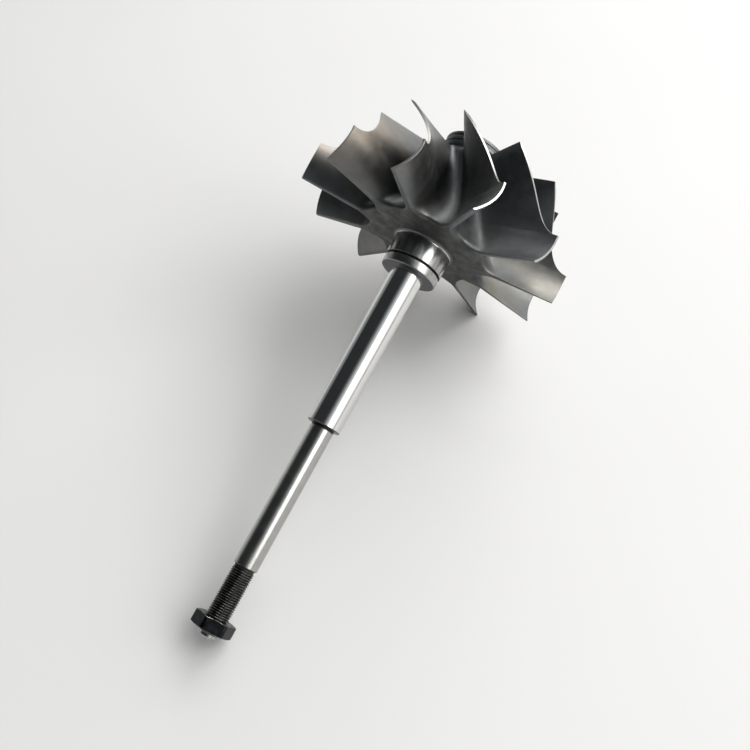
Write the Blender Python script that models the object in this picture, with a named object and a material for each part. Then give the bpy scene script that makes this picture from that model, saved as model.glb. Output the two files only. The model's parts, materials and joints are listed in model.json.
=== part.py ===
"""Turbocharger turbine rotor: cast turbine wheel, shaft and shaft nut, lying on a flat surface.

Metres, +Z up. Each piece is drawn about the rotor's own axis, which is local Z: zero is the plane
of the wheel's back, positive runs to the wheel's nose and negative runs down the shaft to the nut.
An empty lays that axis down, so that two blade tips and the nut touch the floor.
"""

import math

import bmesh
import bpy
from mathutils import Vector

# Turbine wheel
BLADE_COUNT = 11
WHEEL_RADIUS = 0.0613
TIP_WIDTH = 0.0161
OUTLET_RADIUS = 0.0457
OUTLET_PLANE = 0.0425
CAMBER_DIP = math.radians(5.7)
CAMBER_DIP_PLANE = 0.01286
BLADE_THICKNESS_ROOT = 0.0026
BLADE_THICKNESS_TIP = 0.0011
BLADE_STATIONS_INLET = 4
BLADE_STATIONS_SHROUD = 9
BLADE_ROWS = 5

# Hub of the wheel
HUB_RADIUS_AT_BLADE = 0.0325
HUB_RADIUS_IN_SCALLOP = 0.0282
HUB_RIM_THICKNESS = 0.0022
NOSE_RADIUS = 0.0148
NOSE_END = 0.0520
NOSE_ROUNDING = 0.0005
CORNER_PART = 1.0 - math.sqrt(0.5)
HUB_SEGMENTS_PER_BLADE = 8

# Shaft
BOSS_RADIUS = 0.01325
BOSS_FLARE = 0.0014
BOSS_END_RADIUS = 0.0129
BOSS_LENGTH = 0.01505
RING_GROOVE_PLANE = 0.0108
RING_GROOVE_WIDTH = 0.0012
RING_GROOVE_DEPTH = 0.0012
JOURNAL_RADIUS = 0.0075
JOURNAL_END = 0.0910
SPINDLE_RADIUS = 0.00523
THREAD_START = 0.1562
THREAD_RADIUS = 0.00495
THREAD_END = 0.1850
PIN_RADIUS = 0.0037
SHAFT_END = 0.1868
EDGE_CHAMFER = 0.0004
SHAFT_SEGMENTS = 48

# Nut
NUT_ACROSS_FLATS = 0.016
NUT_NEAR_FACE = 0.1786
NUT_HEIGHT = 0.0055
NUT_BORE_RADIUS = 0.00530
NUT_CORNER_TURN = math.radians(-1.0)
NUT_CHAMFER_ANGLE = math.radians(14.0)
NUT_FACE_SHARE = 0.975
NUT_SEGMENTS_PER_SIDE = 8
SIXTH_TURN = math.radians(60.0)

# Looks: colour, roughness and metallic value
CAST_LOOK = ((0.16, 0.155, 0.145), 0.42, 1.0)
GROUND_LOOK = ((0.62, 0.61, 0.60), 0.12, 1.0)
BLACK_LOOK = ((0.03, 0.03, 0.03), 0.5, 0.9)

SEAT_GAP = 0.0003
SHARP_EDGE_ANGLE = math.radians(35.0)
DOWN = math.radians(90.0)
FULL_TURN = 2 * math.pi


def clear_scene():
    """Remove the objects that a new file starts with."""
    for old in list(bpy.data.objects):
        bpy.data.objects.remove(old, do_unlink=True)


def material(name, colour, roughness, metallic):
    """Return a Principled material with one colour, roughness and metallic value."""
    mat = bpy.data.materials.new(name)
    mat.use_nodes = True
    shader = mat.node_tree.nodes["Principled BSDF"]
    shader.inputs["Base Color"].default_value = (*colour, 1.0)
    shader.inputs["Roughness"].default_value = roughness
    shader.inputs["Metallic"].default_value = metallic
    return mat


def add_object(name, vertices, faces, mat, parent):
    """Make one mesh object from vertices and faces, with outward normals, under the parent."""
    mesh = bpy.data.meshes.new(name)
    mesh.from_pydata([tuple(v) for v in vertices], [], faces)
    shape = bmesh.new()
    shape.from_mesh(mesh)
    bmesh.ops.recalc_face_normals(shape, faces=shape.faces)
    shape.to_mesh(mesh)
    shape.free()
    mesh.shade_smooth()
    mesh.set_sharp_from_angle(angle=SHARP_EDGE_ANGLE)
    mesh.materials.append(mat)
    obj = bpy.data.objects.new(name, mesh)
    bpy.context.scene.collection.objects.link(obj)
    obj.parent = parent
    return obj


def polar(radius, angle, height):
    """Return the point at this radius and angle about local Z, at this height."""
    return Vector((radius * math.cos(angle), radius * math.sin(angle), height))


def turned(name, profile, segments, mat, parent):
    """Turn a profile of (radius, height) points, whose ends lie on the axis, about local Z."""
    vertices = []
    faces = []
    rings = profile[1:-1]
    for radius, height in rings:
        for i in range(segments):
            vertices.append(polar(radius, FULL_TURN * i / segments, height))
    for ring in range(len(rings) - 1):
        for i in range(segments):
            j = (i + 1) % segments
            low = ring * segments
            high = low + segments
            faces.append((low + i, low + j, high + j, high + i))
    first = len(vertices)
    vertices.append(Vector((0.0, 0.0, profile[0][1])))
    vertices.append(Vector((0.0, 0.0, profile[-1][1])))
    last_ring = (len(rings) - 1) * segments
    for i in range(segments):
        j = (i + 1) % segments
        faces.append((first, j, i))
        faces.append((first + 1, last_ring + i, last_ring + j))
    return add_object(name, vertices, faces, mat, parent)


def camber(height):
    """Return how far a blade's mean line has turned at this height, from its angle at the back."""
    return CAMBER_DIP * ((height / CAMBER_DIP_PLANE - 1.0) ** 2 - 1.0)


def blade_angle(index):
    """Return the angle of a blade at the wheel's back. Two blades stand evenly beside the lowest line."""
    return DOWN + (index + 0.5) * FULL_TURN / BLADE_COUNT


def hub_radius(height, at_blade):
    """Return the hub's radius at a height: at_blade is 1 at a blade's root and 0 mid-way between blades."""
    rim = HUB_RADIUS_IN_SCALLOP + (HUB_RADIUS_AT_BLADE - HUB_RADIUS_IN_SCALLOP) * at_blade
    along = (height - HUB_RIM_THICKNESS) / (OUTLET_PLANE - HUB_RIM_THICKNESS)
    along = min(max(along, 0.0), 1.0)
    return NOSE_RADIUS + (rim - NOSE_RADIUS) * (1.0 - along) ** 2


def make_hub(mat, parent):
    """Make the scalloped hub with its blunt nose."""
    segments = HUB_SEGMENTS_PER_BLADE * BLADE_COUNT
    vertices = []
    rings = 0
    for height, _ in blade_stations():
        for i in range(segments):
            phase = FULL_TURN * i / HUB_SEGMENTS_PER_BLADE
            at_blade = 0.5 + 0.5 * math.cos(phase)
            angle = blade_angle(0) + FULL_TURN * i / segments - camber(height)
            vertices.append(polar(hub_radius(height, at_blade), angle, height))
        rings += 1
    turn = camber(OUTLET_PLANE)
    middle = NOSE_ROUNDING * CORNER_PART
    nose = [
        (NOSE_RADIUS, NOSE_END - NOSE_ROUNDING),
        (NOSE_RADIUS - middle, NOSE_END - middle),
        (NOSE_RADIUS - NOSE_ROUNDING, NOSE_END),
    ]
    for radius, height in nose:
        for i in range(segments):
            angle = blade_angle(0) + FULL_TURN * i / segments - turn
            vertices.append(polar(radius, angle, height))
        rings += 1
    faces = []
    for ring in range(rings - 1):
        low = ring * segments
        high = low + segments
        for i in range(segments):
            j = (i + 1) % segments
            faces.append((low + i, low + j, high + j, high + i))
    back = len(vertices)
    vertices.append(Vector((0.0, 0.0, 0.0)))
    vertices.append(Vector((0.0, 0.0, NOSE_END)))
    top = (rings - 1) * segments
    for i in range(segments):
        j = (i + 1) % segments
        faces.append((back, j, i))
        faces.append((back + 1, top + i, top + j))
    return add_object("wheel_hub", vertices, faces, mat, parent)


def blade_stations():
    """Return (height, outer radius) along a blade: up the inlet edge, then along the shroud line."""
    stations = [(0.0, WHEEL_RADIUS)]
    for i in range(BLADE_STATIONS_INLET):
        height = HUB_RIM_THICKNESS + (TIP_WIDTH - HUB_RIM_THICKNESS) * i / BLADE_STATIONS_INLET
        stations.append((height, WHEEL_RADIUS))
    for i in range(BLADE_STATIONS_SHROUD):
        t = 0.5 * math.pi * i / (BLADE_STATIONS_SHROUD - 1)
        height = OUTLET_PLANE - (OUTLET_PLANE - TIP_WIDTH) * math.cos(t)
        radius = WHEEL_RADIUS - (WHEEL_RADIUS - OUTLET_RADIUS) * math.sin(t)
        stations.append((height, radius))
    return stations


def camber_slope(height):
    """Return the change of camber angle for each metre of height."""
    return 2.0 * CAMBER_DIP * (height / CAMBER_DIP_PLANE - 1.0) / CAMBER_DIP_PLANE


def make_blade(index, mat, parent):
    """Make one blade, whose every section across the axis is a straight radial line."""
    stations = blade_stations()
    vertices = []
    for side in (-1.0, 1.0):
        for height, outer in stations:
            root = hub_radius(height, 1.0) + SEAT_GAP
            for row in range(BLADE_ROWS):
                part = row / (BLADE_ROWS - 1)
                radius = root + (outer - root) * part
                thick = BLADE_THICKNESS_ROOT + (BLADE_THICKNESS_TIP - BLADE_THICKNESS_ROOT) * part
                skew = math.hypot(1.0, radius * camber_slope(height))
                half = 0.5 * thick * skew / radius
                vertices.append(polar(radius, blade_angle(index) - camber(height) + side * half, height))
    columns = len(stations)
    other = columns * BLADE_ROWS
    faces = []
    for i in range(columns - 1):
        for row in range(BLADE_ROWS - 1):
            a = i * BLADE_ROWS + row
            b = a + BLADE_ROWS
            faces.append((a, a + 1, b + 1, b))
            faces.append((other + a, other + b, other + b + 1, other + a + 1))
    for i in range(columns - 1):
        for row in (0, BLADE_ROWS - 1):
            a = i * BLADE_ROWS + row
            b = a + BLADE_ROWS
            faces.append((a, b, other + b, other + a))
    for start in (0, (columns - 1) * BLADE_ROWS):
        for row in range(BLADE_ROWS - 1):
            a = start + row
            faces.append((a, a + 1, other + a + 1, other + a))
    return add_object(f"blade_{index + 1:02d}", vertices, faces, mat, parent)


def make_shaft(mat, parent):
    """Make the shaft: sealing boss with its ring groove, journal, spindle, threaded end and plain tip."""
    groove_near = -RING_GROOVE_PLANE + RING_GROOVE_WIDTH / 2
    groove_far = -RING_GROOVE_PLANE - RING_GROOVE_WIDTH / 2
    floor = BOSS_RADIUS - RING_GROOVE_DEPTH
    cut = EDGE_CHAMFER
    profile = [
        (0.0, -SEAT_GAP),
        (BOSS_RADIUS + BOSS_FLARE, -SEAT_GAP),
        (BOSS_RADIUS + BOSS_FLARE * CORNER_PART, -SEAT_GAP - BOSS_FLARE * CORNER_PART),
        (BOSS_RADIUS, -SEAT_GAP - BOSS_FLARE),
        (BOSS_RADIUS, groove_near),
        (floor, groove_near),
        (floor, groove_far),
        (BOSS_END_RADIUS, groove_far),
        (BOSS_END_RADIUS, -BOSS_LENGTH + cut),
        (BOSS_END_RADIUS - cut, -BOSS_LENGTH),
        (JOURNAL_RADIUS, -BOSS_LENGTH),
        (JOURNAL_RADIUS, -JOURNAL_END + cut),
        (JOURNAL_RADIUS - cut, -JOURNAL_END),
        (SPINDLE_RADIUS, -JOURNAL_END),
        (SPINDLE_RADIUS, -THREAD_START),
        (THREAD_RADIUS, -THREAD_START - cut),
        (THREAD_RADIUS, -THREAD_END + cut),
        (THREAD_RADIUS - cut, -THREAD_END),
        (PIN_RADIUS, -THREAD_END),
        (PIN_RADIUS, -SHAFT_END + cut),
        (PIN_RADIUS - cut, -SHAFT_END),
        (0.0, -SHAFT_END),
    ]
    return turned("rotor_shaft", profile, SHAFT_SEGMENTS, mat, parent)


def nut_corner_level(reach):
    """Return the height above the nut's middle at which its chamfer meets a side, at this radius."""
    face_radius = NUT_ACROSS_FLATS / 2 * NUT_FACE_SHARE
    return NUT_HEIGHT / 2 - (reach - face_radius) * math.tan(NUT_CHAMFER_ANGLE)


def nut_corner_radius():
    """Return the radius of the nut's corners."""
    return NUT_ACROSS_FLATS / 2 / math.cos(SIXTH_TURN / 2)


def make_nut(mat, parent):
    """Make the hexagon nut, chamfered on both faces, with its origin on the shaft's axis."""
    flat = NUT_ACROSS_FLATS / 2
    half = NUT_HEIGHT / 2
    segments = 6 * NUT_SEGMENTS_PER_SIDE
    rings = [
        (NUT_BORE_RADIUS, -1.0, False),
        (flat * NUT_FACE_SHARE, -1.0, False),
        (flat, -1.0, True),
        (flat, 1.0, True),
        (flat * NUT_FACE_SHARE, 1.0, False),
        (NUT_BORE_RADIUS, 1.0, False),
    ]
    vertices = []
    for radius, side, is_hexagon in rings:
        for i in range(segments):
            reach = radius
            level = half
            if is_hexagon:
                part = (i % NUT_SEGMENTS_PER_SIDE) / NUT_SEGMENTS_PER_SIDE
                reach = radius / math.cos((part - 0.5) * SIXTH_TURN)
                level = nut_corner_level(reach)
            vertices.append(polar(reach, FULL_TURN * i / segments, side * level))
    faces = []
    for ring in range(len(rings)):
        low = ring * segments
        high = ((ring + 1) % len(rings)) * segments
        for i in range(segments):
            j = (i + 1) % segments
            faces.append((low + i, low + j, high + j, high + i))
    nut = add_object("shaft_nut", vertices, faces, mat, parent)
    nut.location = (0.0, 0.0, -NUT_NEAR_FACE - half)
    nut.rotation_euler = (0.0, 0.0, DOWN + NUT_CORNER_TURN)
    return nut


def resting_slope():
    """Return the slope of the axis at which two blade tips and the nut touch one plane."""
    tip_drop = WHEEL_RADIUS * math.cos(math.pi / BLADE_COUNT)
    corner = nut_corner_radius()
    nut_drop = corner * math.cos(NUT_CORNER_TURN)
    reach = NUT_NEAR_FACE + NUT_HEIGHT / 2 + nut_corner_level(corner)
    return math.atan2(tip_drop - nut_drop, reach)


def stand_on_floor(root):
    """Move the root so that the middle of the rotor's footprint is the origin and its lowest point is at zero."""
    bpy.context.view_layer.update()
    low = [math.inf] * 3
    high = [-math.inf] * 3
    for obj in bpy.context.scene.objects:
        if obj.type != "MESH":
            continue
        for vertex in obj.data.vertices:
            place = obj.matrix_world @ vertex.co
            for k in range(3):
                low[k] = min(low[k], place[k])
                high[k] = max(high[k], place[k])
    root.location.x -= 0.5 * (low[0] + high[0])
    root.location.y -= 0.5 * (low[1] + high[1])
    root.location.z -= low[2]


def main():
    """Build the wheel, shaft and nut on the laid-down axis, and stand them on the floor."""
    clear_scene()
    cast = material("cast_nickel_alloy", *CAST_LOOK)
    steel = material("ground_steel", *GROUND_LOOK)
    black_steel = material("blackened_steel", *BLACK_LOOK)

    root = bpy.data.objects.new("rotor_axis", None)
    bpy.context.scene.collection.objects.link(root)
    root.rotation_euler = (resting_slope() - math.pi / 2, 0.0, 0.0)

    make_hub(cast, root)
    for index in range(BLADE_COUNT):
        make_blade(index, cast, root)
    make_shaft(steel, root)
    make_nut(black_steel, root)
    stand_on_floor(root)


main()
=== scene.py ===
"""Turbocharger turbine rotor, dressed: cast wheel, ground shaft, threaded end and blackened nut.

The pieces are drawn in the rotor's own frame, whose Z is the shaft's axis: zero is the plane of the
blades' back edges, positive runs to the wheel's nose and negative runs down the shaft to the nut.
Its Y points to the floor's side. All lengths are in metres.
"""

import json
import math

import bmesh
import bpy
from mathutils import Matrix, Vector


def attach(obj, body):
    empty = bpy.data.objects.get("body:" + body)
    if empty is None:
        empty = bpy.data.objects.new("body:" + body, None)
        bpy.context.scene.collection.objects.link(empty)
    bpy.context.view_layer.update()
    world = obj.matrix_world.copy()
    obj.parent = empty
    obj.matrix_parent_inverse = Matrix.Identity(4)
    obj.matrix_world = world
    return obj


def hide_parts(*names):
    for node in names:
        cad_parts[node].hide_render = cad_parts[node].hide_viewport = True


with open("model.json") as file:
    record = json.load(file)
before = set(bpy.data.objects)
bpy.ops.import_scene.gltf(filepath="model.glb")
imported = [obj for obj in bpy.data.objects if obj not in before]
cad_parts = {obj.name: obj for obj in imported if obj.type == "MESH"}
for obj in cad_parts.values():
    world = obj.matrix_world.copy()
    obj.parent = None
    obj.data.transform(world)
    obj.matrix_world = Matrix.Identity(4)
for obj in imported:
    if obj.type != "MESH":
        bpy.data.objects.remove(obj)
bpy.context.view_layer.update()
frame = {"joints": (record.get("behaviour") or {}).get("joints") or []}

# Where the rotor lies, from the nut's joint
NUT_MIDDLE = -0.18135
JOINT = next(j for j in frame["joints"] if j["name"] == "nut_turn")
AXIS = Vector(JOINT["axis"]).normalized()
WHEEL_BACK = Vector(JOINT["pos_m"]) - NUT_MIDDLE * AXIS

# Turbine wheel
BLADE_COUNT = 11
PITCH = 2 * math.pi / BLADE_COUNT
WHEEL_RADIUS = 0.0613
TIP_WIDTH = 0.0161
OUTLET_RADIUS = 0.0457
OUTLET_PLANE = 0.0425
CAMBER_DIP = math.radians(5.7)
CAMBER_DIP_PLANE = 0.01286
BLADE_THICKNESS_ROOT = 0.0026
BLADE_THICKNESS_TIP = 0.00105
BLADE_TAPER_POWER = 0.8
BACK_ROUNDING_TIP = 0.00030
BACK_ROUNDING_ROOT = 0.00100
OUTLET_EDGE_ROUNDING = 0.00040
SHROUD_EDGE_BEVEL = 0.00012

# Hub
HUB_BACK = 0.0
RIM_RADIUS = 0.0282
RIM_SWELL = 0.0008
RIM_ROUNDING = 0.0017
BACK_DIP = 0.0008
BACK_DIP_DEPTH = 0.0045
BACK_DIP_START = 0.0165
BACK_DIP_RUN = 0.0095
BACK_DIP_POWER = 1.5
BACK_INNER_RADIUS = 0.01225
FLOOR_START = 0.0022
ROOT_FILLET_INLET = 0.0060
ROOT_FILLET_OUTLET = 0.0020
FILLET_SHARE = 0.9

# Nose
NOSE_RADIUS = 0.0148
NOSE_START = 0.0446
NOSE_END = 0.0520
NOSE_ROUNDING = 0.0005
NOSE_NECK = 0.0003
COLLAR_BEVEL = 0.0001
COLLAR_START = 0.0450
NOSE_FADE_POWER = 2.2
NOSE_FACE_RADIUS = 0.0060
NOSE_GROOVES = ((0.00045, 0.0473, 0.0013), (0.00040, 0.0499, 0.0016))
GROOVE_POWER = 0.7
CENTRE_HOLE_RADIUS = 0.0022
CENTRE_HOLE_TIP = 0.0002
CENTRE_HOLE_DEPTH = 0.0030

# Steps of the wheel's mesh
RIM_STATIONS = (0.0, 0.01, 0.04, 0.09, 0.16, 0.25, 0.38, 0.55, 0.75, 1.0)
TIP_STEPS = 11
SHROUD_STEPS = 30
SIDE_POINTS = 14
FILLET_POINTS = 7
FLOOR_POINTS = 5
BACK_STEPS = 12
NOSE_STEPS = 6
ROUNDING_STEPS = 4
GROOVE_STEPS = 8

# Shaft
BOSS_RADIUS = 0.01325
BOSS_END_RADIUS = 0.0129
BOSS_END = -0.01505
BOSS_FLARE = 0.0014
RING_GROOVE_TOP = -0.01035
RING_GROOVE_BOTTOM = -0.01115
RING_GROOVE_FLOOR = 0.0119
JOURNAL_RADIUS = 0.0075
JOURNAL_END = -0.0910
SPINDLE_RADIUS = 0.00523
SPINDLE_END = -0.1562
CORE_START = 0.0003
CORE_END = -0.1592
TURNED_SEGMENTS = 160

# Threaded end
THREAD_START = -0.1574
THREAD_END = -0.1850
THREAD_RADIUS = 0.00495
THREAD_ROOT = 0.00436
THREAD_PITCH = 0.001
THREAD_CREST_SHARE = 0.14
THREAD_ROOT_SHARE = 0.80
PIN_RADIUS = 0.0037
SHAFT_END = -0.1868
CENTRE_MARK_RADIUS = 0.0014
CENTRE_MARK_TIP = 0.0001
CENTRE_MARK_DEPTH = 0.0018
CENTRE_MARK_END = -0.1849
THREAD_SEGMENTS = 96
ROWS_PER_PITCH = 12

# Nut
NUT_ACROSS_FLATS = 0.016
NUT_HEIGHT = 0.0055
NUT_BORE = 0.00506
NUT_COUNTERSINK = 0.0007
NUT_CORNER_TURN = math.radians(-1.0)
NUT_CHAMFER = math.radians(14.0)
NUT_FACE_SHARE = 0.975
NUT_CORNER_ROUNDING = 0.00022
NUT_EDGE = 0.00012
NUT_SEGMENTS = 6 * 32
SIXTH_TURN = math.radians(60.0)
TWELFTH_TURN = math.radians(30.0)

# Angle of the rotor's underside in its own frame
DOWN = math.radians(90.0)

# Angles in degrees beyond which an edge is shaded sharp
WHEEL_SHARP = 32.0
SHAFT_SHARP = 25.0
THREAD_SHARP = 30.0
NUT_SHARP = 20.0

# Colours of the casting: the heat tint is lightened as painted light, the blue tint is painted shade
CAST_TONES = ((0.140, 0.150, 0.158), (0.200, 0.196, 0.178))
RUST_TINT = (0.215, 0.175, 0.158)
# Heat tint, made lighter as painted warm light on the upper left blades
HEAT_AND_LIGHT_TINT = (0.345, 0.305, 0.262)
# Cool blue tint: painted shade on the upper right blades
SHADE_BLUE_TINT = (0.205, 0.216, 0.232)
HUB_SKIN_TONES = ((0.088, 0.090, 0.092), (0.152, 0.150, 0.145))
CAST_ROUGHNESS = (0.38, 0.50)
HUB_SKIN_ROUGHNESS = (0.62, 0.44)

# Noise values between which the casting's patches form, and how strong the patches get
CLOUD_RANGE = (0.36, 0.62)
RUST_RANGE = (0.55, 0.75)
RUST_SHARE = (0.0, 0.45)
SKIN_RANGE = (0.34, 0.66)
FLECK_SHADE = (0.90, 1.08)
# Painted shade: how dark the blades grow towards the hub, deep in the passages
PASSAGE_SHADE = (0.64, 1.0)
# Shares of the heat tint with its painted light, and of the cool painted shade
HEAT_AND_LIGHT_SHARE = (0.10, 1.0)
SHADE_BLUE_SHARE = (0.0, 0.7)

# Strength of the casting's relief on the blades and on the back of the hub
MOTTLE_RELIEF = (0.04, 0.40)
GRAIN_RELIEF = (0.12, 0.45)

# Where the casting's tints (heat tint with painted light, cool painted shade), the painted shade towards the
# hub, and its coarse skin begin and end
HEAT_AND_LIGHT_ACROSS = (0.010, -0.004)
HEAT_AND_LIGHT_DOWN = (-0.020, -0.036)
HEAT_AND_LIGHT_OUTWARD = (0.036, 0.056)
HEAT_AND_LIGHT_ALONG = (0.001, 0.015)
SHADE_BLUE_ACROSS = (-0.002, 0.010)
SHADE_BLUE_DOWN = (0.006, -0.016)
PASSAGE_SHADE_OUTWARD = (0.016, 0.036)
COARSE_ALONG = (0.0034, 0.0012)
COARSE_OUTWARD = (0.036, 0.029)

# Colours and roughness of the ground and turned steel
EDGE_TONES = ((0.42, 0.415, 0.405), (0.52, 0.515, 0.50))
EDGE_ROUGHNESS = (0.34, 0.44)
BOSS_TONES = ((0.31, 0.307, 0.30), (0.42, 0.415, 0.405))
BOSS_ROUGHNESS = (0.17, 0.27)
JOURNAL_TONES = ((0.64, 0.635, 0.62), (0.74, 0.735, 0.72))
JOURNAL_ROUGHNESS = (0.06, 0.10)
SPINDLE_TONES = ((0.36, 0.356, 0.342), (0.50, 0.495, 0.475))
SPINDLE_ROUGHNESS = (0.18, 0.27)
FACE_TONES = ((0.12, 0.119, 0.124), (0.19, 0.187, 0.190))
FACE_ROUGHNESS = (0.30, 0.44)
TOOL_RINGS = 42000.0

# Colours and roughness of the painted shade in grooves and recesses, of the thread, and of the nut
RECESS_SHADE_TONES = ((0.012, 0.012, 0.012), (0.045, 0.043, 0.040))
RECESS_SHADE_ROUGHNESS = (0.38, 0.60)
OIL_TONES = ((0.018, 0.019, 0.017), (0.050, 0.050, 0.046))
BARE_CREST = (0.235, 0.235, 0.225)
BARE_RANGE = (0.40, 0.62)
BARE_SHARE = (0.35, 1.0)
THREAD_ROUGHNESS = (0.26, 0.44)
OIL_DEPTH = 0.00025
BLACK_TONES = ((0.013, 0.015, 0.017), (0.032, 0.033, 0.035))
BLACK_ROUGHNESS = (0.25, 0.38)
BLACK_RANGE = (0.36, 0.70)
# Pale patches: wear on the nut's edges, and a painted glint on its countersinks
WEAR_AND_GLINT_TONES = ((0.045, 0.045, 0.046), (0.30, 0.295, 0.285))
WEAR_AND_GLINT_ROUGHNESS = (0.44, 0.30)
WEAR_AND_GLINT_RANGE = (0.44, 0.60)

# Floor
FLOOR_TONES = ((0.745, 0.743, 0.738), (0.78, 0.778, 0.772))
FLOOR_FAR_TONE = (0.40, 0.398, 0.392)
FLOOR_FADE = (0.20, 0.75)
FLOOR_ROUGHNESS = 0.85
FLOOR_SIZE = 8.0

# Room: where its bright sides lie and how strongly they shine
ROOM_GLOW = 0.036
WINDOW_SIDE = (0.86, 0.26, 0.44)
WINDOW_GLOW = 1.45
WINDOW_REACH = (0.41, 0.95)
WINDOW_FALLOFF = 3.2
WINDOW_SILL = (-0.02, 0.12)
WINDOW_SILL_SHARE = (0.3, 1.0)
DOOR_SIDE = (0.087, 0.960, 0.260)
DOOR_GLOW = 1.20
DOOR_REACH = (0.30, 0.95)
DOOR_FALLOFF = 1.5
FAR_SIDE = (-0.80, 0.55, 0.0)
FAR_REACH = (-0.3, 0.5)
GROUND_TOP = -0.20
GROUND_GLOW = 0.80
WALL_TOP = 0.32
WALL_GLOW = 0.36
WALL_FADE = (-0.17, 0.17)
NEAR_SIDE = (0.0, -1.0, 0.0)
NEAR_GLOW = 0.34
NEAR_REACH = (0.35, 0.80)
NEAR_TOP = (0.55, 0.10)
ROOM_TINT = (0.90, 0.96, 1.0)
DIM_WINDOW_TINT = (0.84, 0.94, 1.0)
DIM_WINDOW_RANGE = (0.0, 0.12)
WINDOW_TINT = (1.0, 0.995, 0.97)
WINDOW_RANGE = (0.10, 0.60)
DOOR_TINT = (1.0, 0.965, 0.90)

# Windows: name, place, size and power in watts
LAMP_COLOUR = (1.0, 0.995, 0.99)
WINDOWS = (
    ("side_window", (1.535, 0.326, 0.98), (1.4, 0.9), 15.2),
    ("corner_window", (0.841, 0.841, 1.417), (1.2, 0.8), 12.0),
    ("far_window", (0.055, 1.568, 0.98), (1.4, 0.9), 15.0),
)

# Camera
CAMERA_FROM_WHEEL = (0.144025, -0.213526, 0.280298)
CAMERA_AZIMUTH = math.radians(41.193)
CAMERA_ELEVATION = math.radians(55.368)
CAMERA_ROLL = math.radians(11.610)
FOCAL_LENGTH_PX = 852.46
IMAGE_WIDTH_PX = 750.0
SENSOR_WIDTH_MM = 36.0
NEAREST_SEEN = 0.01
FARTHEST_SEEN = 20.0


# Meshes


def rotor_matrix():
    """Return the placement of the rotor's own frame in the world."""
    across = Vector((1.0, 0.0, 0.0))
    third = AXIS.cross(across)
    turn = Matrix((across, third, AXIS)).transposed().to_4x4()
    return Matrix.Translation(WHEEL_BACK) @ turn


def held(value):
    """Return the value held between 0 and 1."""
    return min(max(value, 0.0), 1.0)


def polar(radius, angle, height):
    """Return the point at this radius and angle about the rotor's axis, at this height along it."""
    return (radius * math.cos(angle), radius * math.sin(angle), height)


def circle(radius, height, segments):
    """Return a ring of points about the rotor's axis."""
    return [polar(radius, 2 * math.pi * i / segments, height) for i in range(segments)]


def band(low, high, count):
    """Return the faces between two rings of this many points, which start at these two indices."""
    faces = []
    for i in range(count):
        j = (i + 1) % count
        faces.append((low + i, low + j, high + j, high + i))
    return faces


def end_caps(vertices, last, segments, top, bottom):
    """Add a point on the axis at each end, and return the faces that close the first and last ring."""
    tip = len(vertices)
    vertices.append((0.0, 0.0, top))
    vertices.append((0.0, 0.0, bottom))
    faces = []
    for i in range(segments):
        j = (i + 1) % segments
        faces.append((tip, j, i))
        faces.append((tip + 1, last + i, last + j))
    return faces


def mesh_object(name, vertices, faces, materials, face_materials, sharp):
    """Make one mesh object from points in the rotor's frame, with outward normals and smooth shading."""
    mesh = bpy.data.meshes.new(name)
    mesh.from_pydata(vertices, [], faces)
    for mat in materials:
        mesh.materials.append(mat)
    for polygon, index in zip(mesh.polygons, face_materials):
        polygon.material_index = index
    shape = bmesh.new()
    shape.from_mesh(mesh)
    bmesh.ops.recalc_face_normals(shape, faces=shape.faces)
    shape.to_mesh(mesh)
    shape.free()
    mesh.shade_smooth()
    mesh.set_sharp_from_angle(angle=math.radians(sharp))
    mesh.transform(rotor_matrix())
    obj = bpy.data.objects.new(name, mesh)
    bpy.context.scene.collection.objects.link(obj)
    return obj


# Shader nodes

# The middle of a noise's range, where most of its values lie
NOISE_MIDDLE = (0.3, 0.7)
WHOLE = (0.0, 1.0)

# Where a mix node keeps its first input, second input and output, for numbers and for colours
MIX_SOCKETS = {"FLOAT": (2, 3, 0), "RGBA": (6, 7, 2)}


def new_material(name):
    """Return a new material, its node tree and its Principled shader."""
    mat = bpy.data.materials.new(name)
    mat.use_nodes = True
    return mat, mat.node_tree, mat.node_tree.nodes["Principled BSDF"]


def node(tree, kind, **settings):
    """Add a node and set its properties."""
    made = tree.nodes.new(kind)
    for key, value in settings.items():
        setattr(made, key, value)
    return made


def feed(tree, value, socket):
    """Give an input a number, a colour, or another node's output."""
    if isinstance(value, bpy.types.NodeSocket):
        tree.links.new(value, socket)
    elif isinstance(value, tuple):
        socket.default_value = (*value, 1.0)
    else:
        socket.default_value = value


def object_point(tree, stretch=(1.0, 1.0, 1.0)):
    """Return the rotor frame's coordinates, stretched along each axis."""
    place = node(tree, "ShaderNodeTexCoord")
    into = rotor_matrix().inverted()
    local = node(tree, "ShaderNodeMapping")
    local.inputs["Location"].default_value = into.to_translation()
    local.inputs["Rotation"].default_value = into.to_euler()
    feed(tree, place.outputs["Object"], local.inputs["Vector"])
    mapping = node(tree, "ShaderNodeMapping")
    mapping.inputs["Scale"].default_value = stretch
    feed(tree, local.outputs["Vector"], mapping.inputs["Vector"])
    return mapping.outputs["Vector"]


def coordinates(tree, point):
    """Return the X, Y and Z of a point as three sockets."""
    split = node(tree, "ShaderNodeSeparateXYZ")
    feed(tree, point, split.inputs["Vector"])
    return split.outputs["X"], split.outputs["Y"], split.outputs["Z"]


def axis_distance(tree):
    """Return the distance from the rotor's axis."""
    flat = object_point(tree, (1.0, 1.0, 0.0))
    length = node(tree, "ShaderNodeVectorMath", operation="LENGTH")
    feed(tree, flat, length.inputs[0])
    return length.outputs["Value"]


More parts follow.
